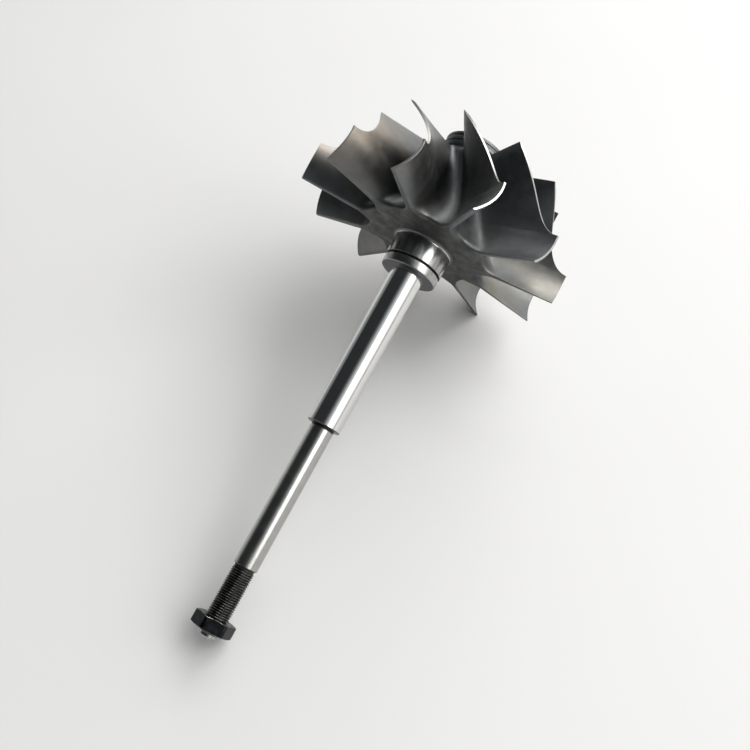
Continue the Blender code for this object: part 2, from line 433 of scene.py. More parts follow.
def noise(tree, point, scale, detail=4.0, roughness=0.55):
    """Return the value of a noise texture read at the point."""
    texture = node(tree, "ShaderNodeTexNoise")
    texture.inputs["Scale"].default_value = scale
    texture.inputs["Detail"].default_value = detail
    texture.inputs["Roughness"].default_value = roughness
    feed(tree, point, texture.inputs["Vector"])
    return texture.outputs["Fac"]


def spread(tree, value, given, wanted=WHOLE):
    """Map a value from the given range to the wanted one, held at both ends."""
    ranged = node(tree, "ShaderNodeMapRange")
    ranged.inputs["From Min"].default_value = given[0]
    ranged.inputs["From Max"].default_value = given[1]
    ranged.inputs["To Min"].default_value = wanted[0]
    ranged.inputs["To Max"].default_value = wanted[1]
    feed(tree, value, ranged.inputs["Value"])
    return ranged.outputs["Result"]


def calculate(tree, operation, first, second):
    """Return the result of a calculation with two values, each a number or a socket."""
    made = node(tree, "ShaderNodeMath", operation=operation)
    feed(tree, first, made.inputs[0])
    feed(tree, second, made.inputs[1])
    return made.outputs["Value"]


def product(tree, first, second):
    """Multiply two values, each a number or a socket."""
    return calculate(tree, "MULTIPLY", first, second)


def blend(tree, kind, factor, first, second):
    """Mix two values of one kind, each given plainly or as a socket, by a factor."""
    mixer = node(tree, "ShaderNodeMix", data_type=kind)
    first_input, second_input, output = MIX_SOCKETS[kind]
    feed(tree, factor, mixer.inputs["Factor"])
    feed(tree, first, mixer.inputs[first_input])
    feed(tree, second, mixer.inputs[second_input])
    return mixer.outputs[output]


def blend_colour(tree, factor, first, second):
    """Mix two colours by a factor."""
    return blend(tree, "RGBA", factor, first, second)


def blend_value(tree, factor, first, second):
    """Mix two numbers by a factor."""
    return blend(tree, "FLOAT", factor, first, second)


def bump(tree, height, strength, distance, under=None):
    """Return the normals of a bump, laid over another bump if one is given."""
    made = node(tree, "ShaderNodeBump")
    made.inputs["Distance"].default_value = distance
    feed(tree, strength, made.inputs["Strength"])
    feed(tree, height, made.inputs["Height"])
    if under is not None:
        feed(tree, under, made.inputs["Normal"])
    return made.outputs["Normal"]


def set_surface(tree, shader, colour, roughness, relief=None, metallic=1.0):
    """Give the shader its colour, roughness, relief and share of metal."""
    feed(tree, colour, shader.inputs["Base Color"])
    feed(tree, roughness, shader.inputs["Roughness"])
    shader.inputs["Metallic"].default_value = metallic
    if relief is not None:
        feed(tree, relief, shader.inputs["Normal"])


# Materials


def heat_and_light_mask(tree, point):
    """Return where heat has tinted the wheel and painted warm light brightens it: its upper left blades'
    outer parts, seen from the nut.
    """
    across, down, along = coordinates(tree, point)
    mask = product(tree, spread(tree, across, HEAT_AND_LIGHT_ACROSS), spread(tree, down, HEAT_AND_LIGHT_DOWN))
    mask = product(tree, mask, spread(tree, axis_distance(tree), HEAT_AND_LIGHT_OUTWARD))
    return product(tree, mask, spread(tree, along, HEAT_AND_LIGHT_ALONG, HEAT_AND_LIGHT_SHARE))


def shade_blue_mask(tree, point):
    """Return where painted shade makes the wheel bluer: its upper right blades, seen from the nut."""
    across, down = coordinates(tree, point)[:2]
    return product(tree, spread(tree, across, SHADE_BLUE_ACROSS), spread(tree, down, SHADE_BLUE_DOWN, SHADE_BLUE_SHARE))


def blade_colour(tree, point, mottle):
    """Return the blades' colour: clouded grey with tints (a heat tint lightened as painted light, a cool
    tint as painted shade), fine flecks, and painted shade darkening towards the hub.
    """
    cloud = spread(tree, noise(tree, point, scale=30.0, detail=3.0), CLOUD_RANGE)
    tone = blend_colour(tree, cloud, *CAST_TONES)
    patches = noise(tree, object_point(tree, (1.3, 1.0, 0.8)), scale=60.0, detail=3.0)
    tone = blend_colour(tree, spread(tree, patches, RUST_RANGE, RUST_SHARE), tone, RUST_TINT)
    # Heat tint, lightened as painted warm light on the upper left blades
    tone = blend_colour(tree, heat_and_light_mask(tree, point), tone, HEAT_AND_LIGHT_TINT)
    # Cool painted shade on the upper right blades
    tone = blend_colour(tree, shade_blue_mask(tree, point), tone, SHADE_BLUE_TINT)
    fleck = spread(tree, mottle, NOISE_MIDDLE, FLECK_SHADE)
    # Painted shade that darkens the blades towards the hub, deep in the passages
    passage_shade = spread(tree, axis_distance(tree), PASSAGE_SHADE_OUTWARD, PASSAGE_SHADE)
    shade = node(tree, "ShaderNodeVectorMath", operation="SCALE")
    feed(tree, tone, shade.inputs[0])
    feed(tree, product(tree, fleck, passage_shade), shade.inputs["Scale"])
    return shade.outputs["Vector"]


def cast_material():
    """Dark satin nickel alloy: smooth on the blades, coarse and mottled on the back of the hub."""
    mat, tree, shader = new_material("cast_alloy")
    point = object_point(tree)
    mottle = noise(tree, point, scale=170.0, detail=5.0, roughness=0.62)
    near_back = spread(tree, coordinates(tree, point)[2], COARSE_ALONG)
    coarse = product(tree, near_back, spread(tree, axis_distance(tree), COARSE_OUTWARD))
    skin = spread(tree, mottle, SKIN_RANGE)
    hub_colour = blend_colour(tree, skin, *HUB_SKIN_TONES)
    colour = blend_colour(tree, coarse, blade_colour(tree, point, mottle), hub_colour)
    satin = spread(tree, noise(tree, point, scale=240.0), NOISE_MIDDLE, CAST_ROUGHNESS)
    rough = blend_value(tree, coarse, satin, spread(tree, skin, WHOLE, HUB_SKIN_ROUGHNESS))
    relief = bump(tree, mottle, strength=blend_value(tree, coarse, *MOTTLE_RELIEF), distance=0.0006)
    grain = noise(tree, point, scale=1500.0)
    grain_strength = blend_value(tree, coarse, *GRAIN_RELIEF)
    relief = bump(tree, grain, strength=grain_strength, distance=0.00012, under=relief)
    set_surface(tree, shader, colour, rough, relief)
    return mat


def ground_edge_material():
    """Bright metal where the blades' outer edges are ground."""
    mat, tree, shader = new_material("ground_blade_edge")
    streak = noise(tree, object_point(tree), scale=900.0, detail=2.0)
    scratches = noise(tree, object_point(tree, (1.0, 1.0, 4.0)), scale=2200.0)
    colour = blend_colour(tree, streak, *EDGE_TONES)
    rough = spread(tree, streak, NOISE_MIDDLE, EDGE_ROUGHNESS)
    set_surface(tree, shader, colour, rough, bump(tree, scratches, strength=0.1, distance=0.00005))
    return mat


def ground_steel_material(name, tones, roughness, line_strength):
    """Steel ground on centres: fine lines run round the axis."""
    mat, tree, shader = new_material(name)
    lines = noise(tree, object_point(tree, (0.02, 0.02, 1.0)), scale=9000.0, detail=3.0, roughness=0.7)
    bands = noise(tree, object_point(tree, (0.05, 0.05, 1.0)), scale=240.0, detail=3.0)
    smear = noise(tree, object_point(tree), scale=120.0)
    colour = blend_colour(tree, bands, *tones)
    rough = spread(tree, smear, NOISE_MIDDLE, roughness)
    set_surface(tree, shader, colour, rough, bump(tree, lines, strength=line_strength, distance=0.00002))
    return mat


def turned_face_material():
    """Dull turned steel of end faces and chamfers, with fine rings from the tool."""
    mat, tree, shader = new_material("turned_face")
    patch = noise(tree, object_point(tree), scale=500.0)
    rings = calculate(tree, "SINE", product(tree, axis_distance(tree), TOOL_RINGS), 0.0)
    colour = blend_colour(tree, patch, *FACE_TONES)
    rough = spread(tree, patch, NOISE_MIDDLE, FACE_ROUGHNESS)
    set_surface(tree, shader, colour, rough, bump(tree, rings, strength=0.12, distance=0.00002))
    return mat


def recess_shade_material():
    """Painted shade: near black in grooves, undercuts and inner corners."""
    mat, tree, shader = new_material("recess_painted_shade")
    patch = noise(tree, object_point(tree), scale=900.0)
    colour = blend_colour(tree, patch, *RECESS_SHADE_TONES)
    rough = spread(tree, patch, NOISE_MIDDLE, RECESS_SHADE_ROUGHNESS)
    relief = bump(tree, patch, strength=0.2, distance=0.00005)
    set_surface(tree, shader, colour, rough, relief, metallic=0.5)
    return mat


def thread_material():
    """Thread with black oily roots, and crests that are bare in places."""
    mat, tree, shader = new_material("thread_steel")
    point = object_point(tree)
    patch = noise(tree, point, scale=380.0)
    crest = spread(tree, axis_distance(tree), (THREAD_ROOT + OIL_DEPTH, THREAD_RADIUS))
    bare = product(tree, crest, spread(tree, patch, BARE_RANGE, BARE_SHARE))
    colour = blend_colour(tree, bare, blend_colour(tree, patch, *OIL_TONES), BARE_CREST)
    rough = spread(tree, patch, NOISE_MIDDLE, THREAD_ROUGHNESS)
    grain = noise(tree, point, scale=3000.0, detail=3.0)
    set_surface(tree, shader, colour, rough, bump(tree, grain, strength=0.15, distance=0.00003))
    return mat


def black_nut_material():
    """Black oxide steel with a faint sheen and slightly uneven tone."""
    mat, tree, shader = new_material("blackened_steel")
    point = object_point(tree)
    patch = noise(tree, point, scale=300.0, detail=5.0)
    colour = blend_colour(tree, spread(tree, patch, BLACK_RANGE), *BLACK_TONES)
    rough = spread(tree, patch, NOISE_MIDDLE, BLACK_ROUGHNESS)
    grain = noise(tree, point, scale=2600.0, detail=3.0)
    set_surface(tree, shader, colour, rough, bump(tree, grain, strength=0.18, distance=0.00006))
    return mat


def wear_and_glint_nut_material():
    """Edges of the nut where the black has worn through in places, and its countersinks, where the same pale
    patches are a painted glint.
    """
    mat, tree, shader = new_material("worn_black_edge_and_glint")
    wear_and_glint_patch = spread(tree, noise(tree, object_point(tree), scale=520.0), WEAR_AND_GLINT_RANGE)
    colour = blend_colour(tree, wear_and_glint_patch, *WEAR_AND_GLINT_TONES)
    set_surface(tree, shader, colour, spread(tree, wear_and_glint_patch, WHOLE, WEAR_AND_GLINT_ROUGHNESS))
    return mat


def floor_material():
    """Plain pale matte floor, which fades softly to grey well to the rotor's right."""
    mat, tree, shader = new_material("pale_floor")
    point = object_point(tree)
    tone = blend_colour(tree, noise(tree, point, scale=6.0, detail=2.0), *FLOOR_TONES)
    far = spread(tree, coordinates(tree, point)[0], FLOOR_FADE)
    colour = blend_colour(tree, far, tone, FLOOR_FAR_TONE)
    set_surface(tree, shader, colour, FLOOR_ROUGHNESS, metallic=0.0)
    return mat


# Turbine wheel

CAST, GROUND_EDGE = range(2)


def camber(height):
    """Return how far a blade's mean line has turned at this height, from its angle at the back."""
    return CAMBER_DIP * ((height / CAMBER_DIP_PLANE - 1.0) ** 2 - 1.0)


def camber_slope(height):
    """Return the change of camber angle for each metre of height."""
    return 2.0 * CAMBER_DIP * (height / CAMBER_DIP_PLANE - 1.0) / CAMBER_DIP_PLANE


def floor_radius(height, off_blade):
    """Return the radius of the passage floor: off_blade is 0 at a blade and 1 mid-way between two."""
    rim = RIM_RADIUS + RIM_SWELL * (1.0 - off_blade)
    along = held((height - FLOOR_START) / (OUTLET_PLANE - FLOOR_START))
    return NOSE_RADIUS + (rim - NOSE_RADIUS) * (1.0 - along) ** 2


def fillet_radius(height):
    """Return the radius of a blade's root fillet at this height."""
    along = height / OUTLET_PLANE
    return ROOT_FILLET_INLET + (ROOT_FILLET_OUTLET - ROOT_FILLET_INLET) * along


def round_off(depth, radius):
    """Return how far a rounded edge draws in at this depth below the face it rounds."""
    left = radius - depth
    if left <= 0.0:
        return 0.0
    return radius - math.sqrt(max(radius**2 - left**2, 0.0))


def shroud_stations():
    """Return rows of (height, outer radius, outward normal along the axis, outward normal across it)."""
    heights = [RIM_ROUNDING * part for part in RIM_STATIONS]
    heights += [RIM_ROUNDING + (TIP_WIDTH - RIM_ROUNDING) * i / TIP_STEPS for i in range(1, TIP_STEPS)]
    rows = [(height, WHEEL_RADIUS, 0.0, 1.0) for height in heights]
    deep = OUTLET_PLANE - TIP_WIDTH
    wide = WHEEL_RADIUS - OUTLET_RADIUS
    for i in range(SHROUD_STEPS + 1):
        turn = 0.5 * math.pi * i / SHROUD_STEPS
        height = OUTLET_PLANE - deep * math.cos(turn)
        radius = WHEEL_RADIUS - wide * math.sin(turn)
        normal = Vector((wide * math.cos(turn), deep * math.sin(turn))).normalized()
        rows.append((height, radius, normal[0], normal[1]))
    return rows


def blade_part(radius, height):
    """Return how far out along the blade a radius is: 0 at the root and 1 at the outer edge."""
    root = floor_radius(height, 0.0)
    outer = WHEEL_RADIUS if height < TIP_WIDTH else OUTLET_RADIUS
    return held((radius - root) / (outer - root))


def edge_inset(radius, height):
    """Return how much a blade's side draws in near its back edge and its outlet edge."""
    part = blade_part(radius, height)
    rounding = BACK_ROUNDING_ROOT + (BACK_ROUNDING_TIP - BACK_ROUNDING_ROOT) * part
    return round_off(height, rounding) + round_off(OUTLET_PLANE - height, OUTLET_EDGE_ROUNDING)


def half_angle(radius, height, inset):
    """Return the angle from a blade's mean line to its side at this radius and height."""
    thick = BLADE_THICKNESS_ROOT
    thick += (BLADE_THICKNESS_TIP - BLADE_THICKNESS_ROOT) * blade_part(radius, height) ** BLADE_TAPER_POWER
    skew = math.hypot(1.0, radius * camber_slope(height))
    return (0.5 * thick - inset) * skew / radius


def root_section(height):
    """Return (radius, angle, height) round a blade's root fillet and along the floor to mid passage."""
    fillet = fillet_radius(height)
    base = floor_radius(height, 0.0)
    start = base + fillet
    foot = half_angle(start, height, 0.0)
    wide = math.hypot(1.0, base * camber_slope(height)) / base
    reach = min(fillet * wide, FILLET_SHARE * (0.5 * PITCH - foot))
    side_inset = edge_inset(start, height)
    rim_inset = round_off(height, RIM_ROUNDING)
    points = []
    for i in range(1, FILLET_POINTS):
        share = i / (FILLET_POINTS - 1)
        turn = 0.5 * math.pi * share
        inset = side_inset + (rim_inset - side_inset) * share
        angle = foot + reach - (reach + inset * wide) * math.cos(turn)
        level = floor_radius(height, angle / (0.5 * PITCH))
        points.append((level + fillet - (fillet + inset) * math.sin(turn), angle, height))
    edge = foot + reach
    for i in range(1, FLOOR_POINTS + 1):
        angle = edge + (0.5 * PITCH - edge) * i / FLOOR_POINTS
        points.append((floor_radius(height, angle / (0.5 * PITCH)) - rim_inset, angle, height))
    return points


def half_section(height, outer, normal_z, normal_r):
    """Return (radius, angle, height) from the blade's tip down one side, round the fillet to mid passage."""
    inset = edge_inset(outer, height)
    low_height = height - SHROUD_EDGE_BEVEL * normal_z
    low_outer = outer - SHROUD_EDGE_BEVEL * normal_r
    start = floor_radius(height, 0.0) + fillet_radius(height)
    points = [
        (outer, half_angle(outer, height, inset + SHROUD_EDGE_BEVEL), height),
        (low_outer, half_angle(low_outer, low_height, inset), low_height),
    ]
    for i in range(1, SIDE_POINTS):
        radius = low_outer + (start - low_outer) * i / (SIDE_POINTS - 1)
        points.append((radius, half_angle(radius, height, edge_inset(radius, height)), height))
    return points + root_section(height)


def back_dip(radius, angle, height):
    """Return how far the hub's back is dished between two blades at this point."""
    off_blade = ((angle - DOWN + camber(0.0)) / PITCH) % 1.0
    between = 0.5 + 0.5 * math.cos(2.0 * math.pi * off_blade)
    outward = held((radius - BACK_DIP_START) / BACK_DIP_RUN)
    smooth = outward * outward * (3.0 - 2.0 * outward)
    near = max(0.0, 1.0 - abs(height) / BACK_DIP_DEPTH)
    return BACK_DIP * between**BACK_DIP_POWER * smooth * near


def wheel_rings():
    """Return the rings of points round the wheel, from the back edge to the outlet plane."""
    rings = []
    for height, outer, normal_z, normal_r in shroud_stations():
        half = half_section(height, outer, normal_z, normal_r)
        ring = []
        for k in range(BLADE_COUNT):
            mean = DOWN + (k + 0.5) * PITCH
            for radius, angle, level in reversed(half[:-1]):
                ring.append((radius, mean - camber(level) - angle, level))
            for radius, angle, level in half:
                ring.append((radius, mean - camber(level) + angle, level))
        rings.append(ring)
    return rings


def turbine_wheel(cast, edge):
    """Make the whole wheel as one casting: hub, blades with root fillets, and nose."""
    rings = wheel_rings()
    count = len(rings[0])
    per_blade = count // BLADE_COUNT
    half = (per_blade + 1) // 2
    vertices = [polar(*point) for ring in rings for point in ring]
    faces = []
    kinds = []
    for row in range(len(rings) - 1):
        faces += band(row * count, (row + 1) * count, count)
        kinds += [GROUND_EDGE if i % per_blade == half - 2 else CAST for i in range(count)]
    last = (len(rings) - 1) * count
    close_blade_ends(faces, per_blade, half, 0)
    close_blade_ends(faces, per_blade, half, last)
    add_back(vertices, faces, per_blade, half)
    add_nose(vertices, faces, last, per_blade, half)
    kinds += [CAST] * (len(faces) - len(kinds))
    for i, (x, y, height) in enumerate(vertices):
        dip = back_dip(math.hypot(x, y), math.atan2(y, x), height)
        vertices[i] = (x, y, height + dip)
    return mesh_object("turbine_wheel", vertices, faces, [cast, edge], kinds, WHEEL_SHARP)


def close_blade_ends(faces, per_blade, half, start):
    """Close the flat end of each blade across its thickness, from the tip to the root fillet."""
    for k in range(BLADE_COUNT):
        left = start + k * per_blade + half - 2
        right = left + 1
        for step in range(SIDE_POINTS):
            a = left - step
            b = right + step
            faces.append((a, b, b + 1, a - 1))


def lower_loop(start, per_blade, half):
    """Return the indices round the hub, leaving out the blades above their roots."""
    loop = []
    for k in range(BLADE_COUNT):
        base = start + k * per_blade
        left_root = base + half - 2 - SIDE_POINTS
        right_root = base + half - 1 + SIDE_POINTS
        loop.extend(range(base, left_root + 1))
        loop.extend(range(right_root, base + per_blade))
    return loop


def add_rings_inward(vertices, faces, loop, profile):
    """Carry a loop inward along rings of (radius, height, share of the loop's own shape) to the axis."""
    current = loop
    angles = [math.atan2(vertices[i][1], vertices[i][0]) for i in loop]
    radii = [math.hypot(vertices[i][0], vertices[i][1]) for i in loop]
    size = len(loop)
    for target, height, share in profile:
        ring = []
        for angle, radius in zip(angles, radii):
            ring.append(len(vertices))
            vertices.append(polar(target + (radius - target) * share, angle, height))
        for i in range(size):
            j = (i + 1) % size
            faces.append((current[i], current[j], ring[j], ring[i]))
        current = ring
    centre = len(vertices)
    vertices.append((0.0, 0.0, profile[-1][1]))
    for i in range(size):
        faces.append((current[i], current[(i + 1) % size], centre))


def add_back(vertices, faces, per_blade, half):
    """Close the wheel's back with a disc of rings that its dished relief can bend."""
    profile = []
    for i in range(1, BACK_STEPS + 1):
        part = i / BACK_STEPS
        radius = RIM_RADIUS + (BACK_INNER_RADIUS - RIM_RADIUS) * part
        profile.append((radius, HUB_BACK, (1.0 - part) ** 3))
    add_rings_inward(vertices, faces, lower_loop(0, per_blade, half), profile)


def add_nose(vertices, faces, start, per_blade, half):
    """Close the wheel's outlet end: fillets that fade into the nose, its rounded end and centre hole."""
    fade = NOSE_START - OUTLET_PLANE
    neck = NOSE_RADIUS - NOSE_NECK
    profile = []
    for i in range(1, NOSE_STEPS + 1):
        part = i / NOSE_STEPS
        profile.append((neck, OUTLET_PLANE + fade * part, (1.0 - part) ** NOSE_FADE_POWER))
    profile += [(radius, height, 0.0) for radius, height in nose_profile()]
    add_rings_inward(vertices, faces, lower_loop(start, per_blade, half), profile)


def nose_groove(depth, middle, width):
    """Return a round-bottomed groove in the nose as (radius, height) points."""
    points = []
    for i in range(GROOVE_STEPS + 1):
        part = i / GROOVE_STEPS
        radius = NOSE_RADIUS - depth * math.sin(math.pi * part) ** GROOVE_POWER
        points.append((radius, middle + (part - 0.5) * width))
    return points


def nose_profile():
    """Return the nose's turned outline: a collar with shallow grooves, its rim and centre hole."""
    points = [(NOSE_RADIUS - COLLAR_BEVEL, NOSE_START + COLLAR_BEVEL), (NOSE_RADIUS, COLLAR_START)]
    for depth, middle, width in NOSE_GROOVES:
        points += nose_groove(depth, middle, width)
    points.append((NOSE_RADIUS, NOSE_END - NOSE_ROUNDING))
    for i in range(1, ROUNDING_STEPS + 1):
        turn = 0.5 * math.pi * i / ROUNDING_STEPS
        radius = NOSE_RADIUS - NOSE_ROUNDING * (1.0 - math.cos(turn))
        points.append((radius, NOSE_END - NOSE_ROUNDING * (1.0 - math.sin(turn))))
    points.append((NOSE_FACE_RADIUS, NOSE_END))
    points.append((CENTRE_HOLE_RADIUS, NOSE_END))
    points.append((CENTRE_HOLE_TIP, NOSE_END - CENTRE_HOLE_DEPTH))
    return points


# Shaft

GROUND_BOSS, GROUND_JOURNAL, GROUND_SPINDLE, TURNED_FACE, RECESS_SHADE = range(5)
OILY_THREAD, BARE_TIP = range(2)


def arc(centre, radius, start, stop, steps):
    """Return points of a circular arc in (radius, height), from one angle in degrees to another."""
    points = []
    for i in range(steps + 1):
        turn = math.radians(start + (stop - start) * i / steps)
        points.append((centre[0] + radius * math.cos(turn), centre[1] + radius * math.sin(turn)))
    return points


def boss_sections():
    """Return the boss's outline in stretches of (points, look), from the wheel to its end face."""
    sunk = 0.0002
    lip = 0.0001
    chamfer = 0.0002
    rounding = 0.0004
    flare_radius = BOSS_RADIUS + BOSS_FLARE
    centre = (flare_radius, HUB_BACK - lip - BOSS_FLARE)
    return [
        ([(flare_radius, HUB_BACK + sunk), (flare_radius, HUB_BACK - lip)], TURNED_FACE),
        (arc(centre, BOSS_FLARE, 90.0, 140.0, 7)[1:], TURNED_FACE),
        (arc(centre, BOSS_FLARE, 140.0, 180.0, 6)[1:], GROUND_BOSS),
        ([(BOSS_RADIUS, RING_GROOVE_TOP + chamfer)], GROUND_BOSS),
        ([(BOSS_RADIUS - chamfer, RING_GROOVE_TOP)], TURNED_FACE),
        # Painted shade: the ring groove's inner flank and floor are near black
        ([(RING_GROOVE_FLOOR, RING_GROOVE_TOP), (RING_GROOVE_FLOOR, RING_GROOVE_BOTTOM)], RECESS_SHADE),
        ([(BOSS_END_RADIUS - chamfer, RING_GROOVE_BOTTOM)], RECESS_SHADE),
        ([(BOSS_END_RADIUS, RING_GROOVE_BOTTOM - chamfer)], GROUND_BOSS),
        (arc((BOSS_END_RADIUS - rounding, BOSS_END + rounding), rounding, 0.0, -90.0, 5), GROUND_BOSS),
    ]


def shaft_sections():
    """Return the outline in the same stretches from the boss's end face to the core under the thread."""
    fillet = 0.0005
    chamfer = 0.0003
    relief = 0.0002
    undercut_end = JOURNAL_END - 0.0010
    spindle_start = JOURNAL_END - 0.0013
    neck = SPINDLE_END - 0.0004
    taper = 0.0001
    return [
        (arc((JOURNAL_RADIUS + fillet, BOSS_END - fillet), fillet, 90.0, 180.0, 5), TURNED_FACE),
        ([(JOURNAL_RADIUS, JOURNAL_END + chamfer)], GROUND_JOURNAL),
        ([(JOURNAL_RADIUS - chamfer, JOURNAL_END), (SPINDLE_RADIUS + relief, JOURNAL_END)], TURNED_FACE),
        # Painted shade: the undercut below the journal's shoulder is near black
        ([(SPINDLE_RADIUS - relief, JOURNAL_END - relief)], RECESS_SHADE),
        ([(SPINDLE_RADIUS - relief, undercut_end)], RECESS_SHADE),
        ([(SPINDLE_RADIUS, spindle_start)], TURNED_FACE),
        ([(SPINDLE_RADIUS, SPINDLE_END + chamfer)], GROUND_SPINDLE),
        ([(SPINDLE_RADIUS - chamfer, SPINDLE_END)], TURNED_FACE),
        # Painted shade on the core under the thread
        ([(THREAD_ROOT, neck), (THREAD_ROOT - taper, CORE_END)], RECESS_SHADE),
    ]


def shaft_core(materials):
    """Turn the ground shaft: boss, journal, spindle, and the plain core under the thread.

    The band of faces that ends at a point of the outline has that point's look.
    """
    outline = []
    looks = []
    for points, look in boss_sections() + shaft_sections():
        outline += points
        looks += [look] * len(points)
    vertices = []
    for radius, height in outline:
        vertices += circle(radius, height, TURNED_SEGMENTS)
    faces = []
    kinds = []
    for row, look in enumerate(looks[1:]):
        faces += band(row * TURNED_SEGMENTS, (row + 1) * TURNED_SEGMENTS, TURNED_SEGMENTS)
        kinds += [look] * TURNED_SEGMENTS
    last = (len(outline) - 1) * TURNED_SEGMENTS
    faces += end_caps(vertices, last, TURNED_SEGMENTS, CORE_START, CORE_END)
    kinds += [GROUND_BOSS] * (len(faces) - len(kinds))
    return mesh_object("rotor_shaft_ground", vertices, faces, materials, kinds, SHAFT_SHARP)


def thread_radius(phase):
    """Return the thread's radius at a phase from 0 to 1 across one pitch: flat crest, flanks, root."""
    off = abs((phase % 1.0) - 0.5) * 2.0
    share = held((off - THREAD_CREST_SHARE) / (THREAD_ROOT_SHARE - THREAD_CREST_SHARE))
    return THREAD_RADIUS + (THREAD_ROOT - THREAD_RADIUS) * share


def thread_limit(height):
    """Return the largest radius at this height: the thread rises at its start and runs out at its end."""
    start_step = 0.00015
    start_slope = 1.2
    start_land = 0.0001
    end_step = 0.0002
    rise = max(0.0, THREAD_START - height - start_land) * start_slope
    return min(THREAD_ROOT + start_step + rise, THREAD_ROOT - end_step + height - THREAD_END)


def tip_profile():
    """Return the plain tip beyond the thread: its shoulder, chamfer, end face and centre hole."""
    chamfer = 0.0005
    bevel = 0.0001
    shoulder = 0.0002
    return [
        (PIN_RADIUS + shoulder, THREAD_END),
        (PIN_RADIUS, THREAD_END - shoulder),
        (PIN_RADIUS, SHAFT_END + chamfer),
        (PIN_RADIUS - bevel, SHAFT_END + chamfer - bevel),
        (PIN_RADIUS - chamfer, SHAFT_END),
        (CENTRE_MARK_RADIUS, SHAFT_END),
        (CENTRE_MARK_TIP, SHAFT_END + CENTRE_MARK_DEPTH),
    ]


def threaded_end(thread, bare):
    """Make the helical thread from its undercut to the plain tip at the shaft's end."""
    rows = int(round((THREAD_START - THREAD_END) / THREAD_PITCH * ROWS_PER_PITCH))
    step = (THREAD_START - THREAD_END) / rows
    vertices = []
    for row in range(rows + 1):
        height = THREAD_START - row * step
        for i in range(THREAD_SEGMENTS):
            turn = i / THREAD_SEGMENTS
            radius = thread_radius((THREAD_START - height) / THREAD_PITCH + turn)
            vertices.append(polar(min(radius, thread_limit(height)), 2 * math.pi * turn, height))
    looks = [OILY_THREAD] * rows
    for radius, height in tip_profile():
        vertices += circle(radius, height, THREAD_SEGMENTS)
        looks.append(BARE_TIP)
    faces = []
    kinds = []
    for row, look in enumerate(looks):
        faces += band(row * THREAD_SEGMENTS, (row + 1) * THREAD_SEGMENTS, THREAD_SEGMENTS)
        kinds += [look] * THREAD_SEGMENTS
    last = len(looks) * THREAD_SEGMENTS
    faces += end_caps(vertices, last, THREAD_SEGMENTS, THREAD_START, CENTRE_MARK_END)
    kinds += [OILY_THREAD, BARE_TIP] * THREAD_SEGMENTS
    return mesh_object("shaft_thread", vertices, faces, [thread, bare], kinds, THREAD_SHARP)


# Nut

BLACK, WEAR_AND_GLINT = range(2)


def hexagon_reach(angle, flat):
    """Return a hexagon's radius at an angle, from half its width across flats, with rounded corners."""
    off = abs((angle % SIXTH_TURN) - TWELFTH_TURN)
    reach = flat / math.cos(off)
    start = flat / math.cos(TWELFTH_TURN) - 2.0 * NUT_CORNER_ROUNDING
    if reach <= start:
        return reach
    part = (reach - start) / (2.0 * NUT_CORNER_ROUNDING)
    return start + NUT_CORNER_ROUNDING * (part + part * (1.0 - part))


def nut_side_level(reach):
    """Return how high above the nut's middle its chamfer meets a side at this radius."""
    face_radius = NUT_ACROSS_FLATS / 2 * NUT_FACE_SHARE
    return NUT_HEIGHT / 2 - math.tan(NUT_CHAMFER) * (reach - face_radius)


def nut_outline():
    """Return the upper half of the nut as (radius, height, drop, on a side, look), from bore to side.

    A point on a side takes its height from where the chamfer meets the side, less the drop.
    """
    flat = NUT_ACROSS_FLATS / 2
    half = NUT_HEIGHT / 2
    face_radius = flat * NUT_FACE_SHARE
    return [
        # The countersink takes the worn look as a painted glint
        (NUT_BORE, half - NUT_COUNTERSINK, 0.0, False, WEAR_AND_GLINT),
        (NUT_BORE + NUT_COUNTERSINK, half, 0.0, False, BLACK),
        (face_radius - NUT_EDGE, half, 0.0, False, BLACK),
        (face_radius, half, 0.0, False, BLACK),
        (flat - NUT_EDGE, half, 0.0, True, WEAR_AND_GLINT),
        (flat, half, NUT_EDGE, True, BLACK),
    ]


def shaft_nut(black, wear_and_glint):
    """Make the hexagon nut with both faces chamfered, worn edges and a countersunk bore with a painted
    glint.
    """
    upper = nut_outline()
    rows = [(1.0, *row) for row in upper] + [(-1.0, *row) for row in reversed(upper)]
    looks = [row[-1] for row in upper] + [row[-1] for row in reversed(upper[:-1])] + [BLACK]
    vertices = []
    for sign, radius, level, drop, on_side, _ in rows:
        for i in range(NUT_SEGMENTS):
            angle = 2 * math.pi * i / NUT_SEGMENTS
            reach = radius
            if on_side:
                reach = hexagon_reach(angle, radius)
                level = nut_side_level(reach) - drop
            vertices.append(polar(reach, angle + DOWN + NUT_CORNER_TURN, NUT_MIDDLE + sign * level))
    faces = []
    kinds = []
    for row, look in enumerate(looks):
        faces += band(row * NUT_SEGMENTS, (row + 1) % len(rows) * NUT_SEGMENTS, NUT_SEGMENTS)
        kinds += [look] * NUT_SEGMENTS
    return mesh_object("hexagon_nut", vertices, faces, [black, wear_and_glint], kinds, NUT_SHARP)


# Stage, light and camera


def add_floor():
    """Lay the plain pale floor that the rotor rests on."""
    bpy.ops.mesh.primitive_plane_add(size=FLOOR_SIZE, location=(0.0, 0.0, 0.0))
    floor = bpy.context.object
    floor.name = "floor"
    floor.data.materials.append(floor_material())


def add_window(name, place, size, power):
    """Add a rectangular soft light that faces the rotor."""
    data = bpy.data.lights.new(name, "AREA")
    data.shape = "RECTANGLE"
    data.size = size[0]
    data.size_y = size[1]
    data.energy = power
    data.color = LAMP_COLOUR
    lamp = bpy.data.objects.new(name, data)
    bpy.context.scene.collection.objects.link(lamp)
    lamp.location = place
    aim = -Vector(place)
    lamp.rotation_euler = aim.to_track_quat("-Z", "Y").to_euler()


